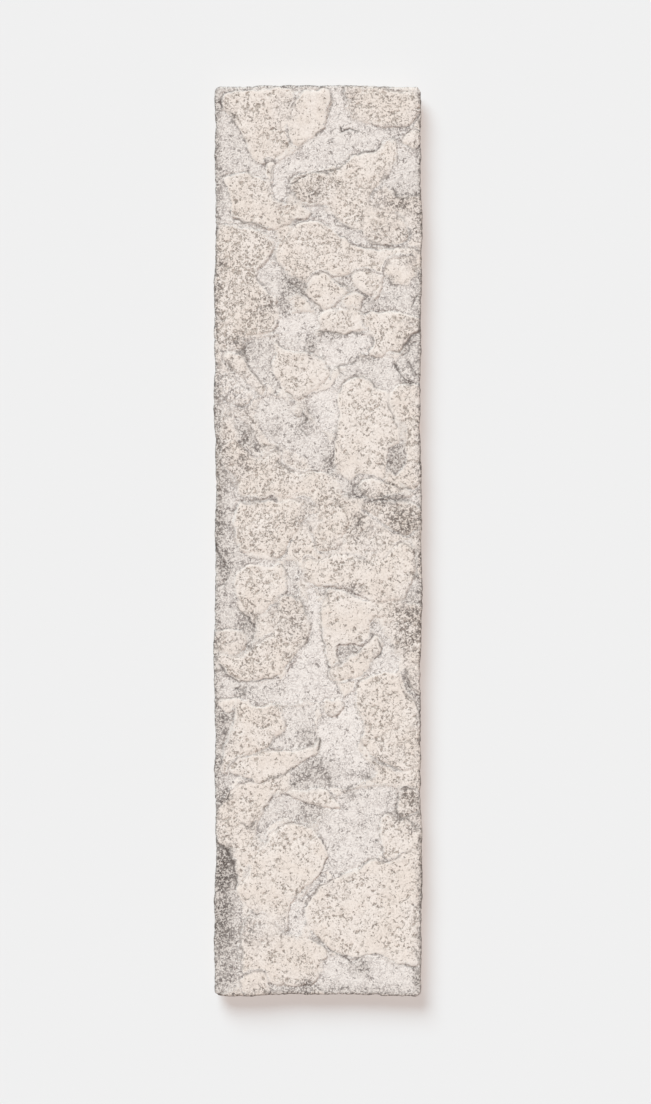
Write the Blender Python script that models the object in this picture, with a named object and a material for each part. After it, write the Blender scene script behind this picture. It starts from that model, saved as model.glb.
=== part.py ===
"""A tall ceramic wall panel, hand built as one piece of clay.

A thin slab carries torn, flattened plates of clay in low relief on its face. A narrow rim on its
back, set in from the edges, holds the slab off the wall and gives it something to hang by.

Metres, +Z up. The face looks along -Y and the wall is the plane y = 0. The origin is the middle of
the back of the rim's top rib, where the panel hangs.
"""

import math

import bmesh
import bpy
import numpy as np
from mathutils import Vector, noise

# Driving sizes of the slab
PANEL_WIDTH = 0.275
PANEL_HEIGHT = 1.210
SLAB_THICKNESS = 0.016
CORNER_RADIUS = 0.009
FRONT_EDGE_RADIUS = 0.004
BACK_EDGE_CHAMFER = 0.002

# Driving sizes of the rim on the back
STANDOFF = 0.0135
RIM_INSET = 0.036
RIM_WALL = 0.012
RIM_CORNER_RADIUS = 0.016
RIM_ROOT = 0.003

# Relief of the face. Each plate lies on those listed before it, at one of a few heights in turn, with
# a crevice round its edge.
PLATE_RISE = 0.0022
PLATE_LEVELS = (0.8, 1.0, 0.65, 0.9)
PLATE_SLOPE = 0.0045
CREVICE_DEPTH = 0.0010
CREVICE_WIDTH = 0.0025
FACE_SWELL = 0.0008
SWELL_LENGTH = 0.110

# How far the hand-cut edges wander from straight
SIDE_WANDER = 0.0010
END_WANDER = 0.0011

# The face starts as a fine grid, and is then thinned to large facets where it is plain
FACE_COLUMNS = 66
FACE_ROWS = 288
FRONT_EDGE_STEPS = 2
SLAB_TRIANGLES = 9000
RIM_CORNER_STEPS = 6
SMOOTH_ANGLE = math.radians(40)

# The plates are laid out on a grid of 100 across by 440 down, from the face's top left corner. Each is
# (across, down, half length, half breadth, turn), where turn is the clockwise angle of its length from
# level, in degrees. Half lengths and breadths are in units across.
LAYOUT_ACROSS = 100
LAYOUT_DOWN = 440
PLATE_SQUARENESS = 2.6
PLATES = (
    (18, 10, 15, 8, 5), (25, 25, 14, 12, 55), (46, 15, 14, 8, 98),
    (82, 12, 16, 9, 5), (77, 34, 17, 5, -32), (70, 45, 13, 8, 5),
    (52, 50, 14, 6, -15), (64, 60, 12, 9, 30), (16, 52, 11, 9, 35),
    (29, 62, 18, 8, -5), (88, 70, 13, 9, 25), (15, 82, 14, 13, 80),
    (14, 104, 17, 15, 10), (40, 79, 13, 9, 100), (58, 79, 14, 10, 35),
    (74, 90, 14, 8, 40), (85, 86, 12, 5, 5), (53, 99, 11, 7, 35),
    (61, 113, 11, 6, -8), (86, 118, 13, 9, 15), (38, 137, 13, 9, 60),
    (50, 141, 9, 7, -35), (12, 134, 14, 5, 50), (10, 147, 10, 8, 40),
    (70, 155, 13, 12, 60), (76, 175, 17, 14, 80), (93, 165, 22, 7, 88),
    (90, 188, 9, 7, 30), (13, 182, 16, 8, 75), (30, 190, 18, 10, 15),
    (29, 213, 20, 13, 10), (57, 205, 10, 8, 30), (52, 222, 14, 13, 80),
    (60, 232, 16, 7, -10), (87, 207, 12, 7, 15), (82, 231, 17, 11, 20),
    (22, 243, 13, 10, 60), (37, 265, 17, 9, 95), (20, 280, 17, 7, 5),
    (6, 270, 9, 5, 80), (64, 256, 17, 9, 20), (57, 272, 14, 5, 85),
    (71, 277, 13, 5, -48), (80, 297, 13, 10, 60), (90, 316, 17, 9, 70),
    (57, 300, 7, 4, 5), (23, 309, 12, 10, -25), (12, 322, 13, 7, -50),
    (30, 328, 21, 5, -18), (16, 346, 14, 8, -30), (8, 358, 11, 7, 60),
    (44, 349, 16, 8, 12), (18, 378, 16, 6, 85), (38, 372, 15, 12, 20),
    (33, 390, 15, 11, 0), (84, 386, 16, 13, 20), (70, 402, 20, 16, 20),
    (56, 396, 12, 9, -45), (38, 421, 16, 11, 15), (91, 366, 9, 8, 20),
)

# Places worked out from the driving sizes
PANEL_TOP = RIM_WALL / 2 + RIM_INSET
PANEL_MIDDLE = PANEL_TOP - PANEL_HEIGHT / 2
SLAB_BACK = -STANDOFF
SLAB_FACE = SLAB_BACK - SLAB_THICKNESS


def clear_scene():
    for old in list(bpy.data.objects):
        bpy.data.objects.remove(old)


def fired_clay():
    """Pale, dry, unglazed stoneware."""
    material = bpy.data.materials.new("fired_clay")
    material.use_nodes = True
    shader = material.node_tree.nodes["Principled BSDF"]
    shader.inputs["Base Color"].default_value = (0.78, 0.73, 0.67, 1.0)
    shader.inputs["Roughness"].default_value = 0.85
    shader.inputs["Metallic"].default_value = 0.0
    return material


def inside_plate(x, z, plate):
    """How far each point lies inside a plate's edge, below 0 outside it."""
    across, down, half_length, half_breadth, turn = plate
    unit = PANEL_WIDTH / LAYOUT_ACROSS
    right = x + PANEL_WIDTH / 2 - across * unit
    below = PANEL_TOP - z - down * PANEL_HEIGHT / LAYOUT_DOWN
    cosine = math.cos(math.radians(turn))
    sine = math.sin(math.radians(turn))
    along = np.abs(right * cosine + below * sine) / (half_length * unit)
    aside = np.abs(below * cosine - right * sine) / (half_breadth * unit)
    reach = (along**PLATE_SQUARENESS + aside**PLATE_SQUARENESS) ** (1 / PLATE_SQUARENESS)
    return (1 - reach) * half_breadth * unit


def plate_relief(x, z):
    """The height of the plates above the ground between them."""
    height = np.zeros_like(x)
    for number, plate in enumerate(PLATES):
        inside = inside_plate(x, z, plate)
        share = np.clip(inside / PLATE_SLOPE + 0.5, 0, 1)
        share = share * share * (3 - 2 * share)
        top = PLATE_RISE * PLATE_LEVELS[number % len(PLATE_LEVELS)]
        height += (top - height) * share
        height -= CREVICE_DEPTH * np.exp(-((inside / CREVICE_WIDTH + 1) ** 2))
    return height


def face_relief(x, z):
    """How far the face stands out from SLAB_FACE: the plates, and the swell of a hand-rolled slab."""
    swell = [noise.noise(Vector((a, 0.0, b)) / SWELL_LENGTH) for a, b in zip(x, z)]
    return plate_relief(x, z) - PLATE_RISE / 2 + FACE_SWELL * np.array(swell)


def wandered(x, z):
    """The point moved as the hand-cut outline moves: most at the edges, not at all in the middle."""
    across = x / (PANEL_WIDTH / 2)
    up = (z - PANEL_MIDDLE) / (PANEL_HEIGHT / 2)
    side = math.sin(9.1 * up + 2.2 * across)
    side += 0.6 * math.sin(23.0 * up - 1.3 * across)
    side += 0.4 * math.sin(47.0 * up)
    end = math.sin(3.4 * across + 1.7 * up)
    end += 0.5 * math.sin(8.2 * across - up)
    return x + SIDE_WANDER * side * across, z + END_WANDER * end * up**7


def rounded_at_corners(x, z, half_width, half_height, radius):
    """A rectangle's point moved so that its corners become arcs, and the way out of it there."""
    over_x = abs(x) - (half_width - radius)
    over_z = abs(z) - (half_height - radius)
    sign_x = math.copysign(1, x)
    sign_z = math.copysign(1, z)
    if over_x > 0 and over_z > 0:
        outward = Vector((over_x, over_z)).normalized()
        reach = max(over_x, over_z)
        x = (half_width - radius + outward.x * reach) * sign_x
        z = (half_height - radius + outward.y * reach) * sign_z
        return x, z, Vector((outward.x * sign_x, outward.y * sign_z))
    if over_x > over_z:
        return x, z, Vector((sign_x, 0))
    return x, z, Vector((0, sign_z))


def face_grid():
    """The flat of the face before its relief: {(column, row): (x, z, the way out)}."""
    half_width = PANEL_WIDTH / 2 - FRONT_EDGE_RADIUS
    half_height = PANEL_HEIGHT / 2 - FRONT_EDGE_RADIUS
    radius = CORNER_RADIUS - FRONT_EDGE_RADIUS
    grid = {}
    for column in range(FACE_COLUMNS + 1):
        for row in range(FACE_ROWS + 1):
            x = half_width * (2 * column / FACE_COLUMNS - 1)
            z = half_height * (2 * row / FACE_ROWS - 1)
            x, z, outward = rounded_at_corners(x, z, half_width, half_height, radius)
            grid[column, row] = (x, z + PANEL_MIDDLE, outward)
    return grid


def round_the_face():
    """The grid's places round its boundary, in order."""
    top = [(column, FACE_ROWS) for column in range(FACE_COLUMNS)]
    right = [(FACE_COLUMNS, row) for row in range(FACE_ROWS, 0, -1)]
    bottom = [(column, 0) for column in range(FACE_COLUMNS, 0, -1)]
    left = [(0, row) for row in range(FACE_ROWS)]
    return top + right + bottom + left


def edge_profile():
    """(out, back) steps from the flat of the face round the edge to the flat of the back."""
    steps = []
    for step in range(1, FRONT_EDGE_STEPS + 1):
        angle = math.pi / 2 * step / FRONT_EDGE_STEPS
        out = FRONT_EDGE_RADIUS * math.sin(angle)
        steps.append((out, FRONT_EDGE_RADIUS * (1 - math.cos(angle))))
    steps.append((FRONT_EDGE_RADIUS, SLAB_THICKNESS - BACK_EDGE_CHAMFER))
    steps.append((FRONT_EDGE_RADIUS - BACK_EDGE_CHAMFER, SLAB_THICKNESS))
    return steps


def band(mesh, here, there):
    """Faces between two closed rows of as many vertices."""
    for step in range(len(here)):
        following = (step + 1) % len(here)
        mesh.faces.new((here[step], here[following], there[following], there[step]))


def finished(mesh, name, material):
    """The bmesh as an object in the scene, shaded smooth but for its sharp edges."""
    bmesh.ops.recalc_face_normals(mesh, faces=mesh.faces)
    data = bpy.data.meshes.new(name)
    mesh.to_mesh(data)
    mesh.free()
    data.materials.append(material)
    data.shade_smooth()
    data.set_sharp_from_angle(angle=SMOOTH_ANGLE)
    made = bpy.data.objects.new(name, data)
    bpy.context.scene.collection.objects.link(made)
    return made


def build_slab(material):
    """The slab: its face in relief, rounded edges that wander a little, and a flat back."""
    grid = face_grid()
    x = np.array([place[0] for place in grid.values()])
    z = np.array([place[1] for place in grid.values()])
    relief = dict(zip(grid, face_relief(x, z)))
    mesh = bmesh.new()

    def vertex(x, z, back):
        moved_x, moved_z = wandered(x, z)
        return mesh.verts.new((moved_x, SLAB_FACE + back, moved_z))

    face = {place: vertex(grid[place][0], grid[place][1], -relief[place]) for place in grid}
    for column in range(FACE_COLUMNS):
        for row in range(FACE_ROWS):
            mesh.faces.new((
                face[column, row],
                face[column + 1, row],
                face[column + 1, row + 1],
                face[column, row + 1],
            ))

    boundary = round_the_face()
    edge = [face[place] for place in boundary]
    for out, back in edge_profile():
        share = max(0, 1 - back / FRONT_EDGE_RADIUS)
        following = []
        for place in boundary:
            x, z, outward = grid[place]
            depth = back - relief[place] * share
            following.append(vertex(x + outward.x * out, z + outward.y * out, depth))
        band(mesh, edge, following)
        edge = following
    mesh.faces.new(edge)
    return finished(mesh, "panel", material)


def rounded_rectangle(half_width, half_height, radius):
    """(x, z) points once round a rectangle with round corners."""
    points = []
    for corner, (sign_x, sign_z) in enumerate(((1, 1), (-1, 1), (-1, -1), (1, -1))):
        for step in range(RIM_CORNER_STEPS + 1):
            angle = math.pi / 2 * (corner + step / RIM_CORNER_STEPS)
            x = sign_x * (half_width - radius) + radius * math.cos(angle)
            z = sign_z * (half_height - radius) + radius * math.sin(angle)
            points.append((x, z))
    return points


def build_rim(material):
    """The rim on the back: a closed wall of clay whose root runs into the slab."""
    half_width = PANEL_WIDTH / 2 - RIM_INSET
    half_height = PANEL_HEIGHT / 2 - RIM_INSET
    outer = rounded_rectangle(half_width, half_height, RIM_CORNER_RADIUS)
    inner = rounded_rectangle(
        half_width - RIM_WALL, half_height - RIM_WALL, RIM_CORNER_RADIUS - RIM_WALL
    )
    root = SLAB_BACK - RIM_ROOT
    mesh = bmesh.new()
    rows = []
    for outline, y in ((outer, 0), (outer, root), (inner, root), (inner, 0)):
        rows.append([mesh.verts.new((x, y, z + PANEL_MIDDLE)) for x, z in outline])
    for number, row in enumerate(rows):
        band(mesh, rows[number - 1], row)
    rim = finished(mesh, "rim", material)
    rim.hide_render = True
    rim.display_type = "WIRE"
    return rim


def thin_out(slab):
    """Larger facets where the face is plain, and small ones along the plates' edges."""
    triangles = len(slab.data.loops) - 2 * len(slab.data.polygons)
    thinning = slab.modifiers.new("thinning", "DECIMATE")
    thinning.ratio = min(1, SLAB_TRIANGLES / triangles)


def join_rim(slab, rim):
    joint = slab.modifiers.new("rim", "BOOLEAN")
    joint.operation = "UNION"
    joint.solver = "EXACT"
    joint.object = rim


def main():
    clear_scene()
    clay = fired_clay()
    slab = build_slab(clay)
    rim = build_rim(clay)
    thin_out(slab)
    join_rim(slab, rim)


main()
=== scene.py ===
"""The looks of a tall ceramic wall panel: torn plates of cream clay on a gritty, paler ground.

One fine mesh stands for the CAD solid. Its plates, crevices, cracks and larger pits are real relief,
and its material adds the pores, grit and stains that are finer than the mesh.
"""

import math
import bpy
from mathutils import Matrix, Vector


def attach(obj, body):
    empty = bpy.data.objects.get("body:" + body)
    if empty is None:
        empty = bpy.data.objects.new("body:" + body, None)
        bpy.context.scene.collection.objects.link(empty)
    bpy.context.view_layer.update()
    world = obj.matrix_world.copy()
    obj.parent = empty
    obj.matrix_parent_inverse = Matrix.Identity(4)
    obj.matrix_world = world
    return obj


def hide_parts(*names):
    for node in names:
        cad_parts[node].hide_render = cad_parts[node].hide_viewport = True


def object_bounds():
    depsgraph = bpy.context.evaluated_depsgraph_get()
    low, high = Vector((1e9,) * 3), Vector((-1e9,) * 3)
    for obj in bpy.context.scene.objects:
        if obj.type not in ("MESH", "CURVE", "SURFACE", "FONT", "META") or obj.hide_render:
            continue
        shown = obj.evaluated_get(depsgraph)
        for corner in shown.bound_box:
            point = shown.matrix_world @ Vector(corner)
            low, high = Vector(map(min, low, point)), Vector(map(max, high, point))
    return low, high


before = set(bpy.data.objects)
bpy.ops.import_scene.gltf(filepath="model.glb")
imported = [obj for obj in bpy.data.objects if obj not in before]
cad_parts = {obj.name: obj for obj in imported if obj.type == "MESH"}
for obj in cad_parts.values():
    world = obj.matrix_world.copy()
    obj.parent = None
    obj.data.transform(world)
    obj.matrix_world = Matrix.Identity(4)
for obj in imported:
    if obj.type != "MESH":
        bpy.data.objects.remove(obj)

from types import SimpleNamespace

import bpy
import numpy as np
from mathutils import Vector

CAD_LOW, CAD_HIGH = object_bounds()

# The panel's sizes, read from the frame
WIDTH = CAD_HIGH.x - CAD_LOW.x
HEIGHT = CAD_HIGH.z - CAD_LOW.z
CENTRE_X = (CAD_HIGH.x + CAD_LOW.x) / 2
CENTRE_Z = (CAD_HIGH.z + CAD_LOW.z) / 2

# The slab and the rim on its back
EDGE_MARGIN = 0.0015
CORNER_RADIUS = 0.009
FRONT_EDGE_RADIUS = 0.004
BACK_EDGE_RADIUS = 0.002
STANDOFF = 0.0135
RIM_INSET = 0.036
RIM_WALL = 0.012
RIM_CORNER_RADIUS = 0.016
RIM_FILLET = 0.002
RIM_ARRIS = 0.001
# Where the one middle point of a small fillet lies, as a share of its radius
ARC_MIDDLE = 0.3

# How the hand-cut outline strays: the reach, and for each wave its share and how often it swings
# along and across the panel
SIDE_STRAY = 0.0010
SIDE_WAVES = ((1.0, 9.1, 2.2), (0.6, 23.0, -1.3), (0.4, 47.0, 0.0))
END_STRAY = 0.0011
END_WAVES = ((1.0, 1.7, 3.4), (0.5, -1.0, 8.2))
END_STRAY_POWER = 7
# Nicks in the outline: how deep, how they vary over two sizes, how fast they fade towards the middle
EDGE_NICKS = 0.0022
USUAL_NICK = 0.3
NICKS = ((0.35, 0.013), (0.30, 0.004))
SIDE_NICK_POWER = 23
END_NICK_POWER = 100

# Relief of the face
PLATE_RISE = 0.0015
PLATE_LEVELS = (0.8, 1.0, 0.65, 0.9)
LOW_SKIN = 0.55
PLATE_SLOPE = 0.0020
SLOPE_VARIES = 0.6
SLOPE_PATCH = 0.030
CREVICE_DEPTH = 0.0007
CREVICE_WIDTH = 0.0012
CREVICE_SHIFT = 0.8
CRACK_DEPTH = 0.0009
GAP_WIDTH = 0.0029
# How open the crevices and gaps are, and how that varies
USUAL_WEAR = 0.85
WEAR_VARIES = 0.9
WEAR_PATCH = 0.024
# The face's swell and ripple: how high and how broad each is
FACE_WAVES = ((0.0008, 0.08), (0.00024, 0.02))
RELIEF_REACH = 0.0022
FACE_Y = CAD_LOW.y + RELIEF_REACH
# How deep the face's colours reach round its edge, in radii of that edge
COLOUR_DEPTH = 1.5

# Fine relief, from the same patterns as the colours
PIT_DEPTH = 0.0006
GRIT_HEIGHT = 0.0004
GRIT_ON_SKIN = 0.15

# The fine mesh: a dense grid, thinned where it is plain
DENSE_STEP = 0.0012
MOST_TRIANGLES = 190000

# The places below are read on a grid of 100 across by 440 down, from the face's top left corner
LAYOUT_ACROSS = 100
LAYOUT_DOWN = 440
UNIT = WIDTH / LAYOUT_ACROSS
CRACK_REACH = 2
SKIN_REACH = 0.008
# The border darkened by grime and painted shade, and how much of that width it has at the top
BORDER_WIDTH = 0.013
TOP_BORDER = 0.5
USUAL_PITS = 0.6
USUAL_PALENESS = 0.3
BARE_SKIN = -0.5
# How far outlines stray from their course, in steps of that grid, and the size of each wobble
RAGGED = ((1.2, 0.026), (0.7, 0.009), (0.4, 0.0035))

# The plates: how pitted each is, and a few points of its outline. Each lies on those before it.
PLATES = (
    (0.6, (5, 5), (25, 3), (38, 3), (40, 12), (38, 24), (34, 33), (28, 37), (20, 36), (11, 20), (4, 12)),
    (0.1, (40, 5), (48, 3), (55, 4), (54, 14), (52, 21), (46, 26), (40, 30), (37, 22)),
    (0.3, (25, 38), (30, 39), (28, 49), (25, 46)),
    (0.6, (6, 46), (14, 43), (21, 45), (27, 49), (31, 57), (42, 58), (46, 63), (38, 66), (26, 70), (10, 64),
        (9, 56)),
    (0.5, (62, 2), (70, 1), (70, 6), (66, 7.5), (62, 6)),
    (0.7, (66, 9), (72, 4), (84, 3), (97, 4), (98, 12), (93, 20), (84, 21), (74, 19), (63, 12)),
    (0.7, (56, 44), (61, 39), (70, 35), (77, 32), (82, 27), (87, 28), (87, 37), (80, 49), (75, 52), (74, 62),
        (73, 69), (66, 70), (56, 60), (50, 48)),
    (0.4, (91, 26), (95, 23), (99, 25), (98, 30), (91, 30)),
    (0.8, (38, 44), (50, 43), (58, 47), (56, 57), (44, 58), (38, 52)),
    (1.0, (4, 68), (13, 69), (24, 72), (29, 77), (27, 84), (22, 90), (23, 97), (29, 102), (31, 111),
        (30, 118), (14, 121), (4, 112), (1, 100), (1, 80)),
    (0.5, (72, 66), (80, 63), (90, 66), (92, 75), (84, 79), (74, 76)),
    (0.6, (31, 78), (37, 70), (45, 66), (53, 68), (60, 73), (66, 78), (78, 81), (97, 80), (98, 88), (80, 92),
        (54, 92), (45, 96), (36, 92), (30, 85)),
    (0.3, (44, 98), (49, 93), (54, 92), (60, 96), (65, 100), (60, 104), (54, 108), (43, 101)),
    (0.3, (68, 92), (68, 97), (76, 103), (79, 100), (80.5, 95), (80, 91)),
    (0.4, (82, 88), (84, 95), (88, 97), (92, 96), (97, 91), (99, 86), (90, 84)),
    (0.2, (65, 101), (70, 101), (71, 104), (70, 109), (64, 109), (61, 106)),
    (0.5, (51, 110), (58, 108), (66, 109), (72, 111), (72, 118), (62, 121), (54, 120), (50, 116)),
    (0.6, (73, 111), (80, 109), (97, 111), (98.5, 118), (93.5, 122), (91, 126), (87, 129), (84, 128),
        (80, 131), (74, 129), (76, 124), (72, 116)),
    (0.5, (2, 121), (11, 122), (14, 125), (12, 129), (3, 128)),
    (0.3, (4, 131), (12, 131), (18, 137), (24, 147), (22, 150), (14, 141), (8, 137)),
    (0.5, (4, 142), (11, 143), (18, 149), (16, 154), (8, 153), (3, 148)),
    (0.5, (29, 123), (33, 128), (44, 128), (50, 131), (56, 138), (50, 145), (44, 150), (38, 152), (33, 145),
        (29, 136)),
    (0.6, (59, 150), (61, 146), (67, 142), (73, 141), (79, 146), (84, 150), (90, 165), (88, 173), (83, 176),
        (83, 184), (80, 190), (71, 187), (66, 190), (60, 188), (58, 180), (60, 168)),
    (0.7, (84, 150), (88, 146), (97, 144), (99, 160), (99, 180), (98, 192), (92, 195), (88, 190), (92, 180),
        (92, 165), (86, 158)),
    (0.5, (72, 190), (82, 192), (92, 196), (92, 199), (74, 199)),
    (0.7, (5, 176), (8, 171), (13, 175), (19, 181), (25, 181), (30, 177), (33, 182), (40, 188), (50, 186),
        (58, 190), (62, 199), (64, 212), (60, 222), (52, 224), (47, 213), (44, 203), (40, 200), (30, 199),
        (14, 199), (10, 188), (6, 184)),
    (0.1, (37, 155), (40, 154), (41.5, 157), (40, 160), (37.5, 159)),
    (0.8, (12, 201), (30, 200.5), (42, 200), (50, 204), (44, 209), (41, 214), (36, 221), (31, 228),
        (23, 225), (15, 226), (10, 217), (9, 209)),
    (1.0, (72, 203), (85, 200), (98, 203), (98, 212), (90, 217), (80, 210)),
    (0.5, (45, 229), (52, 230), (58, 226), (66, 228), (80, 230), (90, 222), (95, 225), (96, 236), (92, 246),
        (84, 249), (77, 249), (62, 243), (46, 240), (42, 236)),
    (0.5, (12, 236), (17, 232), (24, 232), (27, 237), (31, 233), (34, 238), (34, 246), (26, 252), (20, 256),
        (12, 247), (10, 241)),
    (0.9, (31, 249), (36, 246), (43, 250), (45, 260), (45, 268), (38, 277), (30, 284), (20, 287), (12, 287),
        (3, 280), (4, 275), (12, 277), (21, 270), (26, 267), (30, 260)),
    (0.4, (1.5, 263), (14, 264), (14, 272), (9, 275), (2, 273)),
    (0.4, (53, 243), (60, 243.7), (69, 247), (76, 250), (84, 256), (76, 258), (73, 270), (60, 270),
        (60, 281), (55, 281), (52, 266), (50, 256), (54, 249)),
    (0.4, (62, 279), (69, 273.5), (77, 266), (80, 270), (78, 276), (70, 286), (64, 287), (56, 288),
        (54, 283)),
    (0.6, (71, 288), (77, 285), (87, 284), (91, 290), (95, 298), (98, 306), (99, 318), (99, 328), (88, 330),
        (76, 323), (71, 317), (71, 310), (68, 296)),
    (0.2, (92, 283), (98, 281), (99, 290), (98, 294), (94, 292)),
    (0.2, (52, 297), (60, 296), (61, 300), (58, 304), (53, 303)),
    (0.2, (1, 299), (10, 297), (18, 298), (12, 302), (6, 303)),
    (0.6, (11, 301), (20, 299), (31, 300), (34, 307), (33, 312), (27, 316), (25, 320), (18, 322), (9, 331),
        (3, 330), (5, 319), (9, 311)),
    (0.2, (8, 331), (14, 325), (24, 322.5), (36, 322), (46, 320.5), (50, 317.5), (49, 323), (42, 327),
        (34, 332), (24, 335.5), (14, 334)),
    (0.4, (36, 342), (42, 340), (52, 340), (56, 344), (60, 349), (50, 347)),
    (0.6, (1, 352), (7, 344), (14, 338), (24, 336), (30, 338), (28, 346), (24, 353), (20, 362), (26, 366),
        (24, 374), (20, 380), (10, 371), (1, 362)),
    (0.3, (90, 341), (97, 341), (98, 350), (94, 352), (90, 353), (87, 348)),
    (0.5, (82, 352), (90, 355), (99, 362), (99, 374), (84, 374), (80, 362)),
    (0.4, (24, 366), (34, 358), (48, 360), (55, 370), (52, 378), (48, 383), (42, 388), (37, 396), (36, 408),
        (22, 400), (14, 394), (11, 388), (16, 380)),
    (0.4, (70, 377), (76, 374), (82, 376), (98, 370), (99, 395), (98, 410), (99, 423), (90, 423), (80, 419),
        (70, 420), (60, 419), (50, 410), (45, 402), (44, 395), (49, 389), (57, 384)),
    (0.5, (14, 406), (22, 401), (30, 405), (34, 410), (42, 410), (50, 413), (55, 420), (51, 424), (49, 432),
        (40, 434), (26, 433), (16, 429), (13, 416)),
    (0.3, (14, 430), (22, 428), (26, 432), (27, 438), (16, 438)),
)

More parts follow.
